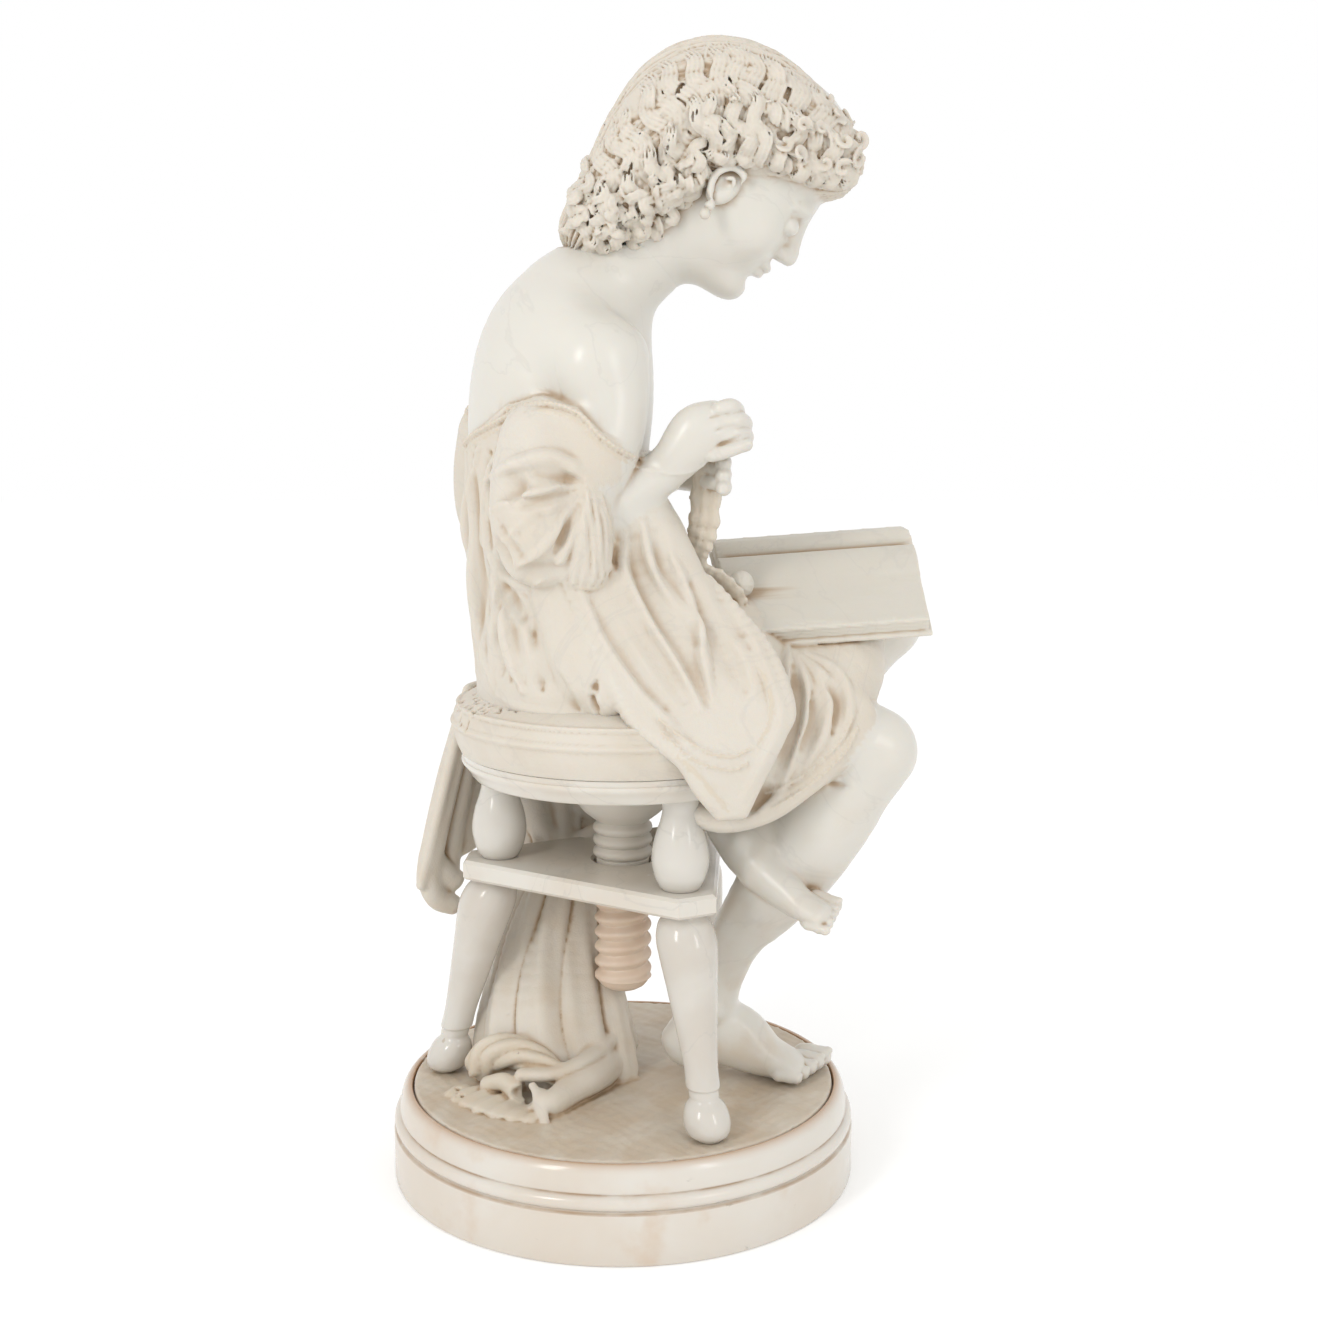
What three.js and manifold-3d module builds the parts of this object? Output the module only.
// A carved stone figure of a seated girl bent over her needlework, on a turned three-legged screw stool
// and a round moulded plinth. Millimetres, +Z up; the girl faces +X and her left side is +Y.
// The origin is the middle of the plinth's underside.
import * as THREE from "three";
import { mergeVertices } from "three/addons/utils/BufferGeometryUtils.js";
import Module from "manifold-3d";

const wasm = await Module();
wasm.setup();

// Driving dimensions.
const GAP = 0.3; // the joint left between two separately carved pieces
const PLINTH_RADIUS = 150;
const PLINTH_WALL = 32; // height of the upright wall under the moulding
const FLOOR_Z = 60; // top of the ground disc that the figure stands on
const GROUND_RADIUS = 136.5;
const GROUND_THICKNESS = 8;
const SHELF_Z = 193; // underside of the stool's shelf
const SHELF_THICKNESS = 13;
const BOARD_Z = 263; // underside of the seat board
const BOARD_THICKNESS = 16;
const CUSHION_THICKNESS = 36;
const CUSHION_RADIUS = 106;
const LEG_TURNS = [177, 297, 57]; // where the legs stand, degrees round the stool
const LEG_TOP_RADIUS = 80; // distance of the legs from the screw, at the board
const LEG_KNEE_RADIUS = 84; // the same under the shelf
const LEG_FOOT_RADIUS = 118; // and at the ground
const SCREW_RADIUS = 18.5;
const SCREW_END_Z = 119;

const SHELF_TOP = SHELF_Z + SHELF_THICKNESS;
const BOARD_TOP = BOARD_Z + BOARD_THICKNESS;
const CUSHION_TOP = BOARD_TOP + CUSHION_THICKNESS;
const X = new THREE.Vector3(1, 0, 0);
const Y = new THREE.Vector3(0, 1, 0);
const Z = new THREE.Vector3(0, 0, 1);

const at = (x, y, z) => new THREE.Vector3(x, y, z);
const radians = THREE.MathUtils.degToRad;
const mix = THREE.MathUtils.lerp;
const bump = (t) => Math.sin(Math.PI * Math.min(1, Math.max(0, t)));

// --- Solids -------------------------------------------------------------------------------------------

// The closed surface of a geometry as a solid, with its faces turned outwards.
function solid(geometry) {
  const loose = geometry.index ? geometry.toNonIndexed() : geometry.clone();
  loose.deleteAttribute("normal");
  loose.deleteAttribute("uv");
  const merged = mergeVertices(loose, 1e-4);
  const points = merged.attributes.position.array;
  const faces = [];
  const corner = (i) => at(points[3 * i], points[3 * i + 1], points[3 * i + 2]);
  let volume = 0;
  for (let i = 0; i < merged.index.count; i += 3) {
    const [a, b, c] = merged.index.array.slice(i, i + 3);
    if (a === b || b === c || c === a) continue;
    faces.push(a, b, c);
    volume += corner(a).dot(corner(b).cross(corner(c)));
  }
  if (volume < 0) faces.reverse();
  const mesh = { numProp: 3, vertProperties: points, triVerts: new Uint32Array(faces) };
  return new wasm.Manifold(new wasm.Mesh(mesh));
}

const joined = (solids) => solids.reduce((all, one) => all.add(one));

// The outer skin of a solid, without hollows sealed inside it or slivers cut loose from it.
function outerSkin(whole) {
  return whole.decompose().reduce((best, one) => (one.volume() > best.volume() ? one : best));
}

function geometryOf(whole) {
  const mesh = whole.getMesh();
  const geometry = new THREE.BufferGeometry();
  geometry.setAttribute("position", new THREE.BufferAttribute(mesh.vertProperties, 3));
  geometry.setIndex(new THREE.BufferAttribute(mesh.triVerts, 1));
  geometry.computeVertexNormals();
  return geometry;
}

// --- Surfaces -----------------------------------------------------------------------------------------

// A skin over a row of rings of points, closed by a fan at each end.
function skin(rings) {
  const sides = rings[0].length;
  const points = rings.flat();
  const middle = (ring) => ring.reduce((sum, p) => sum.add(p), at(0, 0, 0)).divideScalar(sides);
  const first = points.push(middle(rings[0])) - 1;
  const last = points.push(middle(rings.at(-1))) - 1;
  const faces = [];
  for (let j = 0; j < sides; j += 1) {
    const k = (j + 1) % sides;
    faces.push(first, k, j);
    for (let i = 0; i + 1 < rings.length; i += 1) {
      const low = i * sides;
      const high = low + sides;
      faces.push(low + j, low + k, high + k, low + j, high + k, high + j);
    }
    const top = (rings.length - 1) * sides;
    faces.push(last, top + j, top + k);
  }
  const geometry = new THREE.BufferGeometry().setFromPoints(points);
  geometry.setIndex(faces);
  return geometry;
}

// A body swept through stations [point, half-width along "across", half-height at right angles to it].
// folds(angle, t) adds to both half-sizes; "round" bevels the ends over the smaller half-size.
function sweep(stations, { across = Y, sides = 10, steps = 8, folds = () => 0, round = true } = {}) {
  const path = new THREE.CatmullRomCurve3(stations.map((s) => s[0]));
  const sizes = new THREE.CatmullRomCurve3(stations.map((s) => at(s[1], s[2], 0)));
  const rings = [];
  const ring = (t, shift, scale) => {
    const along = path.getTangent(t);
    const side = across.clone().addScaledVector(along, -across.dot(along)).normalize();
    const up = along.clone().cross(side);
    const half = sizes.getPoint(t);
    const middle = path.getPoint(t).addScaledVector(along, shift * Math.min(half.x, half.y));
    const points = [];
    for (let j = 0; j < sides; j += 1) {
      const angle = (2 * Math.PI * j) / sides;
      const extra = folds(angle, t);
      const a = scale * (half.x + extra) * Math.cos(angle);
      const b = scale * (half.y + extra) * Math.sin(angle);
      points.push(middle.clone().addScaledVector(side, a).addScaledVector(up, b));
    }
    rings.push(points);
  };
  if (round) ring(0, -0.68, 0.62);
  for (let i = 0; i <= steps; i += 1) ring(i / steps, 0, 1);
  if (round) ring(1, 0.68, 0.62);
  return solid(skin(rings));
}

// A turned piece: [radius, height] pairs from the bottom to the top, starting and ending on the axis.
function turned(profile, sides = 24) {
  const points = profile.map(([radius, height]) => new THREE.Vector2(radius, height));
  return new THREE.LatheGeometry(points, sides).rotateX(Math.PI / 2);
}

// A hanging cloth: front and back sheets over pointAt(u, v), "thickness" apart along "through".
function cloth(pointAt, columns, rows, thickness, through = Y) {
  const rings = [];
  for (let i = 0; i <= rows; i += 1) {
    const front = [];
    const back = [];
    for (let j = 0; j <= columns; j += 1) {
      const p = pointAt(j / columns, i / rows);
      front.push(p.clone().addScaledVector(through, -thickness / 2));
      back.unshift(p.clone().addScaledVector(through, thickness / 2));
    }
    rings.push([...front, ...back]);
  }
  return solid(skin(rings));
}

function ball(centre, rx, ry = rx, rz = rx, sides = 12) {
  const geometry = new THREE.SphereGeometry(1, sides, Math.ceil(sides * 0.6));
  geometry.rotateX(Math.PI / 2).scale(rx, ry, rz).translate(centre.x, centre.y, centre.z);
  return solid(geometry);
}

// --- Plinth -------------------------------------------------------------------------------------------

function plinth() {
  const r = PLINTH_RADIUS;
  const pocket = FLOOR_Z - GROUND_THICKNESS - GAP;
  const rim = GROUND_RADIUS + 1.2;
  const profile = [[0, 0], [r - 2, 0], [r, 2], [r, PLINTH_WALL], [r - 1.6, PLINTH_WALL + 0.8]];
  // a bead, a fillet, and the ovolo that rolls over to the rim
  for (const a of [-50, 0, 50]) {
    profile.push([r - 4.4 + 4 * Math.cos(radians(a)), 37.5 + 4.4 * Math.sin(radians(a))]);
  }
  profile.push([r - 4.4, 42.6]);
  for (let a = 0; a <= 90; a += 22.5) {
    profile.push([rim + 1.6 + 6.6 * Math.cos(radians(a)), 43.4 + 16 * Math.sin(radians(a))]);
  }
  profile.push([rim, FLOOR_Z - 1.6], [rim, pocket], [0, pocket]);
  return turned(profile, 36);
}

// --- Stool --------------------------------------------------------------------------------------------

// Each turned piece can be made "grow" larger all round, to cut its seat out of the carved block.
function upperLegProfile(grow = 0) {
  const height = BOARD_Z - SHELF_TOP - 2 * GAP;
  const shape = [
    [11.5, 0], [16, 9], [17.6, 19], [15.8, 31], [12, 43], [11, 50], [12, height],
  ];
  const sides = shape.map(([r, z]) => [r + grow, z]);
  return [[0, -grow], [sides[0][0], -grow], ...sides, [sides.at(-1)[0], height + grow], [0, height + grow]];
}

function lowerLegProfile(grow = 0) {
  const height = SHELF_Z - FLOOR_Z - 2 * GAP;
  const shape = [
    [8, 0], [12.8, 4], [14.3, 11], [12.6, 18.5], [9.2, 23], [9.2, 29], [10.2, 31], [10.6, 46], [15, 84],
    [18, 108], [18.6, 118], [14, 129], [12.8, height],
  ];
  const sides = shape.map(([r, z]) => [r + grow, z]);
  return [[0, -grow], [sides[0][0], -grow], ...sides, [sides.at(-1)[0], height + grow], [0, height + grow]];
}

function aroundStool(radius, turn, z) {
  return at(radius * Math.cos(radians(turn)), radius * Math.sin(radians(turn)), z);
}

// Shears an upright leg so that its foot stands further out than its head and its ends stay level.
function placedLeg(profile, turn, footRadius, headRadius, bottom, top, sides) {
  const head = aroundStool(headRadius, turn, top);
  const foot = aroundStool(footRadius, turn, bottom);
  const lean = head.clone().sub(foot).divideScalar(top - bottom);
  const shear = new THREE.Matrix4().set(
    1, 0, lean.x, foot.x,
    0, 1, lean.y, foot.y,
    0, 0, 1, bottom,
    0, 0, 0, 1,
  );
  return turned(profile, sides).applyMatrix4(shear);
}

function upperLeg(turn, grow = 0) {
  const ends = [LEG_TOP_RADIUS, LEG_TOP_RADIUS, SHELF_TOP + GAP, BOARD_Z - GAP];
  return placedLeg(upperLegProfile(grow), turn, ...ends, 12);
}

function lowerLeg(turn, grow = 0) {
  const ends = [LEG_FOOT_RADIUS, LEG_KNEE_RADIUS, FLOOR_Z + GAP, SHELF_Z - GAP];
  return placedLeg(lowerLegProfile(grow), turn, ...ends, 12);
}

// The shelf is a triangle whose three points, over the legs, are cut off square.
function shelfOutline(grow = 0) {
  const shape = new THREE.Shape();
  const reach = 102 + grow;
  const half = 13 + grow;
  LEG_TURNS.slice().sort((a, b) => a - b).forEach((turn, index) => {
    for (const side of [-half, half]) {
      const out = aroundStool(reach, turn, 0);
      const along = aroundStool(side, turn + 90, 0);
      const x = out.x + along.x;
      const y = out.y + along.y;
      if (index === 0 && side < 0) shape.moveTo(x, y);
      else shape.lineTo(x, y);
    }
  });
  shape.closePath();
  return shape;
}

function shelf(grow = 0, boreRadius = SCREW_RADIUS + 0.6) {
  const shape = shelfOutline(grow);
  if (boreRadius > 0) {
    const bore = new THREE.Path();
    bore.absarc(0, 0, boreRadius, 0, 2 * Math.PI, true);
    shape.holes.push(bore);
  }
  const edge = grow > 0 ? 0 : 2;
  const settings = {
    depth: SHELF_THICKNESS - 2 * edge + 2 * grow,
    bevelEnabled: edge > 0,
    bevelThickness: edge,
    bevelSize: edge,
    bevelOffset: -edge,
    bevelSegments: 1,
    curveSegments: 10,
  };
  return new THREE.ExtrudeGeometry(shape, settings).translate(0, 0, SHELF_Z + edge - grow);
}

function seatBoard(grow = 0) {
  const r = 95 + grow;
  const top = BOARD_TOP + grow / 2;
  const bottom = BOARD_Z - grow / 2;
  return turned([[0, bottom], [r - 2, bottom], [r + 1, bottom + 2.5], [r + 5.6, bottom + 9],
    [r + 7.6, bottom + 12], [r + 6.4, bottom + 13], [r + 6.4, top], [0, top]], 36);
}

// The bowl under the seat, its three rings, and the screw that passes through the shelf.
function screw(grow = 0) {
  const r = SCREW_RADIUS + grow;
  const profile = [[0, SCREW_END_Z - grow], [r - 10, SCREW_END_Z - grow], [r - 4.6, SCREW_END_Z + 2]];
  profile.push([r - 3, SCREW_END_Z + 7], [r - 4, SCREW_END_Z + 12]);
  const threads = 6;
  const pitch = (SHELF_Z - 2 - SCREW_END_Z - 13) / threads;
  for (let i = 0; i < threads; i += 1) {
    const low = SCREW_END_Z + 13 + i * pitch;
    profile.push([r - 3.2, low], [r, low + 0.35 * pitch], [r - 0.4, low + 0.75 * pitch]);
  }
  profile.push([r - 1.4, SHELF_Z - 1.4], [r - 1.4, SHELF_TOP + 0.4]);
  for (let i = 0; i < 3; i += 1) {
    const low = SHELF_TOP + 1 + i * 8;
    profile.push([r - 2, low], [r + 0.6, low + 2.6], [r + 0.6, low + 5]);
  }
  profile.push([r - 1, SHELF_TOP + 26], [r + 8, SHELF_TOP + 33], [r + 15, SHELF_TOP + 44]);
  profile.push([r + 18, BOARD_Z - GAP + grow], [0, BOARD_Z - GAP + grow]);
  return turned(profile, 12);
}

// --- Figure -------------------------------------------------------------------------------------------

const HEAD = at(74, 0, 632); // middle of the skull
const HEAD_UP = at(1, 0, 1).normalize(); // the head is bowed halfway to the lap
const FACE = at(1, 0, -1).normalize();
const onHead = (forward, side, up) =>
  HEAD.clone().addScaledVector(FACE, forward).addScaledVector(Y, side).addScaledVector(HEAD_UP, up);

// Each arm's side, how far its shoulder and its sleeve are set back, and its elbow and wrist.
const RIGHT = { side: -1, shoulderBack: 0, sleeveBack: 0, elbow: at(-34, -74, 412), wrist: at(25, -57, 457) };
const LEFT = { side: 1, shoulderBack: -12, sleeveBack: -38, elbow: at(-54, 76, 412), wrist: at(30, 36, 452) };
const RIGHT_KNEE = at(157, -34, 284);
const LEFT_KNEE = at(172, 40, 353);

// An ellipsoid set along the head's own axes: half-sizes forward, sideways and up.
function headBall(centre, forward, side, up, sides = 14) {
  const geometry = new THREE.SphereGeometry(1, sides, Math.ceil(sides * 0.7));
  geometry.applyMatrix4(new THREE.Matrix4().makeScale(forward, side, up));
  geometry.applyMatrix4(new THREE.Matrix4().makeBasis(FACE, Y, HEAD_UP).setPosition(centre));
  return solid(geometry);
}

function headAndNeck() {
  const face = sweep([
    [onHead(6, 0, 32), 38, 41], [onHead(6, 0, 0), 39, 42], [onHead(9, 0, -28), 34, 39],
    [onHead(14, 0, -50), 22, 32],
  ], { across: Y, sides: 12, steps: 4 });
  const nose = sweep([
    [onHead(44, 0, 6), 5, 5], [onHead(54, 0, -12), 6, 6], [onHead(46, 0, -17), 8, 5],
  ], { sides: 6, steps: 2 });
  const lips = headBall(onHead(44, 0, -29), 6, 10, 5, 6);
  const neck = sweep([
    [at(-26, 0, 544), 42, 42], [at(-7, 0, 572), 33, 34], [at(18, 0, 594), 30, 32], [at(44, 0, 616), 30, 32],
  ], { across: Y, sides: 10, steps: 4 });
  const ears = [-1, 1].map((side) => headBall(onHead(-2, side * 43, -14), 9, 7, 15, 6));
  return [face, nose, lips, neck, ...ears];
}

// The hair swells from the forehead over the crown to the nape, cut all round into wavy locks that run
// the same way, and it rolls into curls over the nape and the forehead.
function hair() {
  const locks = (angle, t) => 3.6 * Math.sin(9 * angle + 1.8 * Math.sin(9 * t));
  const mass = sweep([
    [onHead(28, 0, 42), 44, 28], [onHead(-5, 0, 29), 54, 47], [onHead(-34, 0, 11), 56, 53],
    [onHead(-47, 0, -15), 54, 39], [onHead(-47, 0, -52), 47, 28], [onHead(-48, 0, -80), 34, 18],
  ], { across: Y, sides: 27, steps: 8, folds: locks });
  const curls = [];
  for (const side of [-1, 1]) {
    for (let i = 0; i < 2; i += 1) {
      curls.push(headBall(onHead(-56 + 13 * i, side * (12 + 20 * i), -82 + 20 * i), 17, 16, 18, 7));
      curls.push(headBall(onHead(36 - 12 * i, side * (11 + 18 * i), 44 - 14 * i), 12, 13, 13, 6));
    }
  }
  return [mass, ...curls];
}

// The bare back and chest rise out of the robe, whose folds gather at the waist and spread on the cushion.
function torso() {
  const folds = (angle, t) => (5 - 3 * t) * Math.sin(9 * angle + 3 * t) * Math.max(0, 1 - 1.7 * t);
  const body = sweep([
    [at(-20, 0, 316), 84, 72], [at(-22, 0, 352), 78, 70], [at(-24, 0, 390), 68, 70],
    [at(-38, 0, 428), 62, 57], [at(-39, 0, 466), 64, 57], [at(-37, 0, 500), 66, 58],
    [at(-35, 0, 524), 62, 54], [at(-30, 0, 548), 48, 42],
  ], { across: Y, sides: 27, steps: 7, folds, round: false });
  const shoulders = sweep([
    [at(-24, -54, 524), 26, 27], [at(-34, 0, 538), 34, 32], [at(-24, 54, 524), 26, 27],
  ], { across: X, sides: 10, steps: 3 });
  return [body, shoulders];
}

// An upper arm under the robe's edge, a puffed sleeve hung from the crook of the elbow, a pleated cuff
// beside it and the bare forearm.
function arm({ side, shoulderBack, sleeveBack, elbow, wrist }) {
  const x = shoulderBack;
  const upper = sweep([
    [at(x - 9, side * 50, 524), 24, 26], [at(x - 11, side * 60, 492), 25, 29],
    [at(x - 20, side * 68, 460), 24, 28], [elbow, 17, 18],
  ], { across: Y, sides: 10, steps: 4 });
  const b = sleeveBack;
  const puffFolds = (angle, t) => 2 * Math.sin(6 * angle + 2 * t) * bump(t);
  const sleeve = sweep([
    [at(b - 44, side * 66, 474), 26, 27], [at(b - 49, side * 75, 452), 29, 26],
    [at(b - 49, side * 80, 430), 29, 26], [at(b - 47, side * 81, 409), 24, 23],
  ], { across: Y, sides: 18, steps: 4, folds: puffFolds });
  const cuff = sweep([
    [at(b - 14, side * 80, 448), 16, 9], [at(b - 13, side * 87, 426), 18, 10],
    [at(b - 14, side * 88, 400), 17, 10],
  ], { across: Y, sides: 12, steps: 3 });
  const forearm = sweep([
    [elbow, 17, 18], [elbow.clone().lerp(wrist, 0.5), 15, 17], [wrist, 10, 12.5],
  ], { across: Y, sides: 8, steps: 2 });
  return [upper, sleeve, cuff, forearm];
}

// The near hand closes over the needle, and the far hand holds the work beneath it.
function hands() {
  const right = sweep([
    [RIGHT.wrist, 10, 12.5], [at(34, -60, 466), 11.5, 14], [at(46, -60, 480), 13, 17],
    [at(57, -58, 485), 12, 15],
  ], { across: Y, sides: 8, steps: 3 });
  const left = sweep([
    [LEFT.wrist, 10, 11], [at(40, 8, 454), 12, 13], [at(54, -34, 458), 11, 11],
  ], { across: Z, sides: 7, steps: 2 });
  const fingers = [];
  for (let i = 0; i < 3; i += 1) {
    const z = 495 - 7.5 * i;
    const reach = 68 + 2 * i;
    fingers.push(sweep([
      [at(50, -65, z - 4), 5, 5], [at(reach, -63 + i, z), 5, 5], [at(reach + 2, -50, z - 3), 4.6, 4.6],
    ], { sides: 6, steps: 3 }));
    const low = 464 - 7 * i;
    const y = -34 - 3 * i;
    fingers.push(sweep([[at(46, y + 8, low), 4.8, 4.8], [at(61, y - 16, low), 4.8, 4.8]],
      { sides: 6, steps: 1 }));
  }
  const pinch = sweep([
    [at(46, -64, 466), 4.4, 4.4], [at(60, -66, 469), 4.2, 4.2], [at(75, -60, 474), 3.6, 3.6],
  ], { sides: 6, steps: 2 });
  return [right, left, ...fingers, pinch];
}

// The open book lies on the lap, its far edge and its right side the higher ones.
function book() {
  const corners = [at(58, 44, 402), at(179, 44, 411), at(194, -46, 372), at(92, -46, 353)];
  const thickness = 14;
  const rings = [];
  const rows = 8;
  for (let i = 0; i <= rows; i += 1) {
    const v = i / rows;
    const left = corners[0].clone().lerp(corners[3], v);
    const right = corners[1].clone().lerp(corners[2], v);
    const swell = 4 * Math.abs(Math.sin(2 * Math.PI * v)) - 2;
    const low = [];
    const high = [];
    for (let j = 0; j <= 1; j += 1) {
      const p = left.clone().lerp(right, j);
      low.push(p.clone().add(at(0, 0, -thickness / 2)));
      high.unshift(p.clone().add(at(0, 0, thickness / 2 + swell)));
    }
    rings.push([...low, ...high]);
  }
  return [solid(skin(rings))];
}

// The crochet work hangs from the hands and curls on the book by its ball of yarn.
function needlework() {
  const strip = sweep([
    [at(52, -44, 462), 9, 2.6], [at(51, -42, 430), 10, 2.6], [at(48, -40, 412), 9, 2.8],
    [at(46, -36, 399), 7, 3.2], [at(60, -30, 388), 10, 3.4], [at(70, -26, 370), 10, 3],
  ], { across: X, sides: 6, steps: 7 });
  return [strip, ball(at(74, -20, 386), 8.4, 8.4, 8.4, 8)];
}

function legs() {
  const rightThigh = sweep([
    [at(-10, -38, 345), 40, 40], [at(80, -38, 318), 35, 34], [RIGHT_KNEE, 26, 27],
  ], { across: Y, sides: 10, steps: 2 });
  const rightShin = sweep([
    [RIGHT_KNEE, 25, 27], [at(136, -33, 254), 24, 26], [at(108, -29, 213), 24, 26],
    [at(78, -20, 168), 17, 18], [at(64, -11, 134), 14, 15.5], [at(58, -7, 110), 15, 16],
  ], { across: Y, sides: 10, steps: 6 });
  const rightFoot = sweep([
    [at(40, -2, 80), 13, 17], [at(54, -3, 92), 16, 20], [at(73, -4, 87), 18, 21], [at(92, -5, 75), 18, 14],
    [at(110, -6, 68), 19, 9],
  ], { across: Y, sides: 10, steps: 5 });
  const toes = [];
  for (let i = 0; i < 5; i += 1) {
    const y = -22 + 8 * i;
    const size = 4 + 0.7 * i;
    const tip = at(114 + 4.4 * i, y, 65);
    toes.push(sweep([[at(98 + 3 * i, y, 67), size, size], [tip, size, size * 0.8]],
      { sides: 6, steps: 1 }));
  }
  const leftThigh = sweep([
    [at(-10, 38, 350), 40, 42], [at(90, 40, 350), 35, 36], [LEFT_KNEE, 23, 23],
  ], { across: Y, sides: 10, steps: 2 });
  const leftShin = sweep([
    [LEFT_KNEE, 22, 22], [at(141, 28, 318), 21, 22], [at(110, 6, 276), 20, 22], [at(72, -22, 234), 16, 17],
  ], { across: Y, sides: 10, steps: 4 });
  const leftFoot = sweep([
    [at(70, -24, 234), 16, 17], [at(78, -34, 218), 15, 17], [at(95, -50, 203), 13, 15],
    [at(109, -60, 193), 14, 12], [at(121, -67, 188), 14, 9.5], [at(132, -73, 186), 12, 6],
  ], { across: at(-0.5, 1, 0.3).normalize(), sides: 9, steps: 5 });
  return [rightThigh, rightShin, rightFoot, ...toes, leftThigh, leftShin, leftFoot];
}

// The skirt lies over both thighs and hangs in folds between and below them, its hem rolled at the side.
function skirt() {
  const folds = (angle, t) => (2 + 2 * t) * Math.sin(9 * angle + 3 * t);
  const lap = sweep([
    [at(-40, 0, 345), 78, 42], [at(10, 0, 336), 80, 56], [at(58, 0, 322), 78, 70],
    [at(96, 0, 316), 74, 62], [at(124, 4, 326), 64, 42], [at(144, 14, 344), 48, 25],
  ], { across: Y, sides: 27, steps: 6, folds });
  const roll = sweep([
    [at(30, -66, 254), 14, 10], [at(58, -74, 246), 14, 10], [at(86, -76, 251), 12, 10],
    [at(108, -70, 263), 9, 8], [at(141, -58, 292), 5, 6],
  ], { across: Y, sides: 8, steps: 5 });
  return [lap, roll];
}

// The three-cornered front of the open robe falls over the thigh and the cushion to a point.
function robePanel() {
  const rows = [
    [at(-25, -76, 394), at(52, -50, 390)], [at(-8, -80, 352), at(84, -68, 354)],
    [at(10, -90, 316), at(97, -78, 322)],
    [at(38, -97, 294), at(92, -85, 306)], [at(60, -97, 264), at(71, -94, 264)],
  ];
  const left = new THREE.CatmullRomCurve3(rows.map((row) => row[0]));
  const right = new THREE.CatmullRomCurve3(rows.map((row) => row[1]));
  const sheet = (u, v) => {
    const p = left.getPoint(v).lerp(right.getPoint(v), u);
    return p.add(at(0, 6 - 4 * bump(u) + 1.5 * Math.sin(6 * u + 3 * v), 0));
  };
  return [cloth(sheet, 5, 6, 22)];
}

function cushion() {
  const r = CUSHION_RADIUS;
  const base = BOARD_TOP + GAP;
  return [solid(turned([
    [0, base], [r - 7, base], [r - 1, base + 6], [r + 1, base + 15], [r + 2.6, base + 18],
    [r + 1, base + 21],
    [r - 4, base + 32], [r - 14, base + 36], [0, base + 38],
  ], 36))];
}

// A long end of the robe hangs off the far side of the cushion, folds over at the outer corner and
// runs down behind the shelf to the ground, where it spreads forward in a heap with a drilled lace edge.
function hangingRobe() {
  const hung = (u, v) => {
    const corner = Math.max(0, 1 - 3.5 * u); // the outer corner hangs lowest and furthest out
    const fold = 3.5 * Math.sin(2 * Math.PI * 4.5 * u) * (0.4 + v);
    const low = mix(212, 178, corner);
    return aroundStool(mix(108, 121 + 24 * corner, v) + fold, mix(163, 66, u), mix(CUSHION_TOP - 4, low, v));
  };
  const rings = [];
  const hungRows = 5;
  const hungColumns = 18;
  for (let i = 0; i <= hungRows; i += 1) {
    const outer = [];
    const inner = [];
    for (let j = 0; j <= hungColumns; j += 1) {
      const p = hung(j / hungColumns, i / hungRows);
      const inward = at(-p.x, -p.y, 0).normalize().multiplyScalar(8);
      outer.push(p);
      inner.unshift(p.clone().add(inward));
    }
    rings.push([...outer, ...inner]);
  }
  const curtain = solid(skin(rings));
  const foldedTip = sweep([
    [at(-123, 40, 214), 6, 8], [at(-129, 42, 182), 7, 8], [at(-124, 45, 165), 7, 8],
    [at(-116, 48, 160), 6, 7],
  ], { across: Y, sides: 6, steps: 4 });
  const fallFolds = (angle, t) => (2 + 2 * t) * Math.sin(9 * angle);
  const fall = sweep([
    [at(-50, 96, 282), 40, 8], [at(-44, 84, 222), 34, 12], [at(-42, 56, 178), 27, 18],
    [at(-45, 32, 134), 40, 24], [at(-42, 8, 94), 47, 30], [at(-38, -8, 62), 50, 34],
  ], { across: X, sides: 27, steps: 6, folds: fallFolds, round: false });
  const rail = sweep([
    [at(-92, -12, 66), 9, 10], [at(-84, -22, 80), 9, 11], [at(-68, -26, 83), 10, 10],
    [at(-38, -40, 72), 7, 6],
  ], { across: X, sides: 9, steps: 5, folds: (angle, t) => 2 * Math.sin(3 * angle + 20 * t) });
  const flap = sweep([
    [at(-62, -50, 72), 8, 8], [at(-46, -62, 70), 9, 8], [at(-30, -42, 74), 9, 9], [at(-12, -18, 78), 9, 9],
    [at(2, 12, 86), 6, 9],
  ], { across: Y, sides: 6, steps: 6 });
  return [curtain, foldedTip, fall, rail, flap];
}

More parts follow.
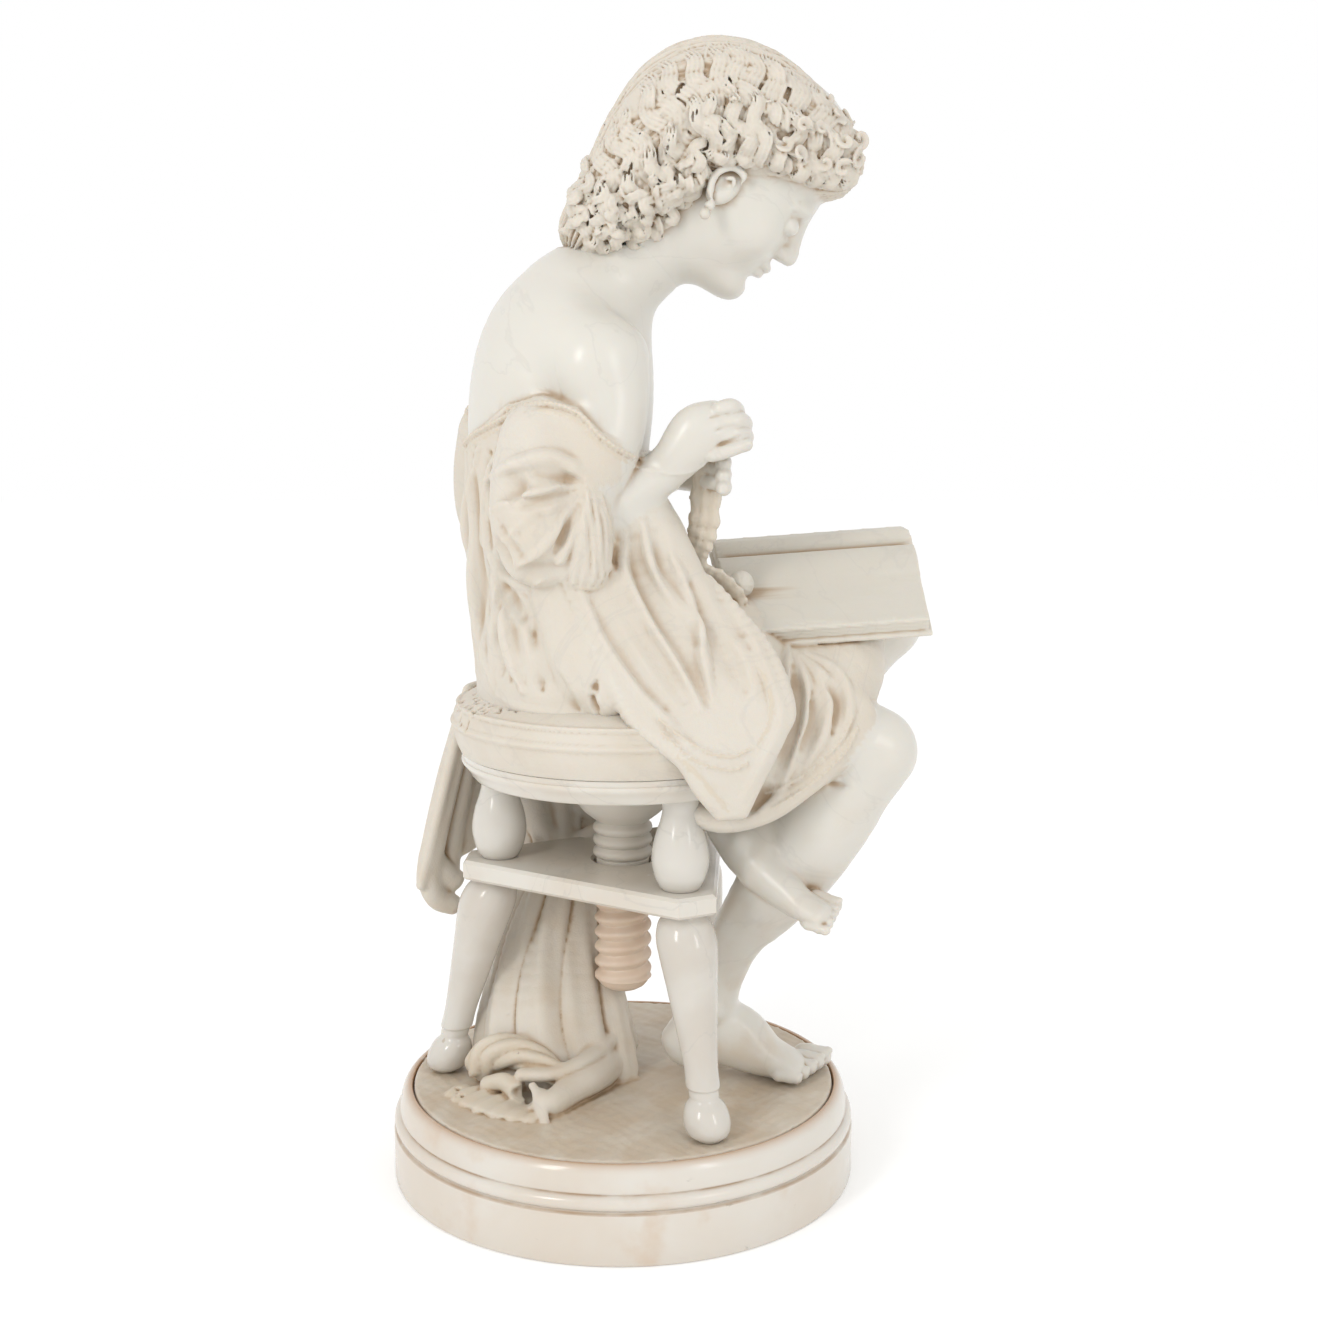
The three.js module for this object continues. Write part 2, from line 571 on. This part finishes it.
function groundDisc() {
  const bottom = FLOOR_Z - GROUND_THICKNESS;
  const r = GROUND_RADIUS;
  return solid(turned([[0, bottom], [r, bottom], [r, FLOOR_Z - 1], [r - 1, FLOOR_Z], [0, FLOOR_Z]], 40));
}

// All that lies outside the ground disc below the floor, to trim what is carved off level with it.
function belowGround() {
  const r = GROUND_RADIUS;
  const bottom = FLOOR_Z - GROUND_THICKNESS;
  const top = FLOOR_Z + GAP;
  return solid(turned([[0, 0], [2 * r, 0], [2 * r, top], [r, top], [r, bottom], [0, bottom]], 40));
}

// Everything carved from the one block, with clear seats for the stool pieces fitted into it.
function statue() {
  const block = joined([
    groundDisc(), ...headAndNeck(), ...hair(), ...torso(), ...arm(RIGHT), ...arm(LEFT), ...hands(), ...book(),
    ...needlework(), ...legs(), ...skirt(), ...robePanel(), ...cushion(), ...hangingRobe(),
  ]);
  const clearance = 2 * GAP;
  const seats = [belowGround(), solid(seatBoard(clearance)), solid(shelf(clearance, 0)),
    solid(screw(clearance))];
  for (const turn of LEG_TURNS) {
    seats.push(solid(upperLeg(turn, clearance)), solid(lowerLeg(turn, clearance)));
  }
  return outerSkin(block.subtract(joined(seats)));
}

// --- Assembly -----------------------------------------------------------------------------------------

const group = new THREE.Group();

function addPiece(name, geometry, colour, roughness) {
  const material = new THREE.MeshStandardMaterial({ color: colour, roughness, metalness: 0 });
  const mesh = new THREE.Mesh(geometry, material);
  mesh.name = name;
  group.add(mesh);
}

addPiece("plinth", plinth(), 0xe6dccd, 0.25);
addPiece("statue", geometryOf(statue()), 0xe3d5c3, 0.45);
addPiece("stool_seat_board", seatBoard(), 0xe4dccf, 0.3);
addPiece("stool_shelf", shelf(), 0xe8e0d3, 0.25);
addPiece("stool_screw", screw(), 0xe2b894, 0.35);
LEG_TURNS.forEach((turn, index) => {
  addPiece(`stool_leg_upper_${index + 1}`, upperLeg(turn), 0xe9e3d8, 0.2);
  addPiece(`stool_leg_lower_${index + 1}`, lowerLeg(turn), 0xeae5dc, 0.2);
});

export default group;
